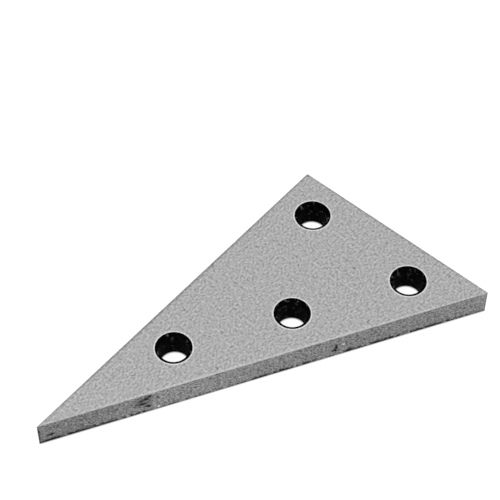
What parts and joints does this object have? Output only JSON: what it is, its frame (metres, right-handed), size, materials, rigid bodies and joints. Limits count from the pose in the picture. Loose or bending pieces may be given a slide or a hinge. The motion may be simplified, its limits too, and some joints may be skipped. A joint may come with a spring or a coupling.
{
  "type": "angle plate",
  "caption": "Flat triangular angle plate with 30, 60 and 90 degree corners, ground all over, with countersunk through holes for clamping bolts.",
  "frame": {"origin": "on the underside, at the middle of the hypotenuse, which is the centre of the bounding rectangle", "axes": "+X along the long leg from the right-angle corner to the 30 degree tip, +Y along the short leg to the 60 degree corner, +Z out of the countersunk top face"},
  "size_m": [0.1267, 0.0732, 0.0095],
  "materials": {
    "ground_steel": "hardened tool steel, surface ground to a matt grey, with blackened holes"
  },
  "bodies": {
    "root": {"angle_plate": "ground_steel"}
  },
  "joints": []
}
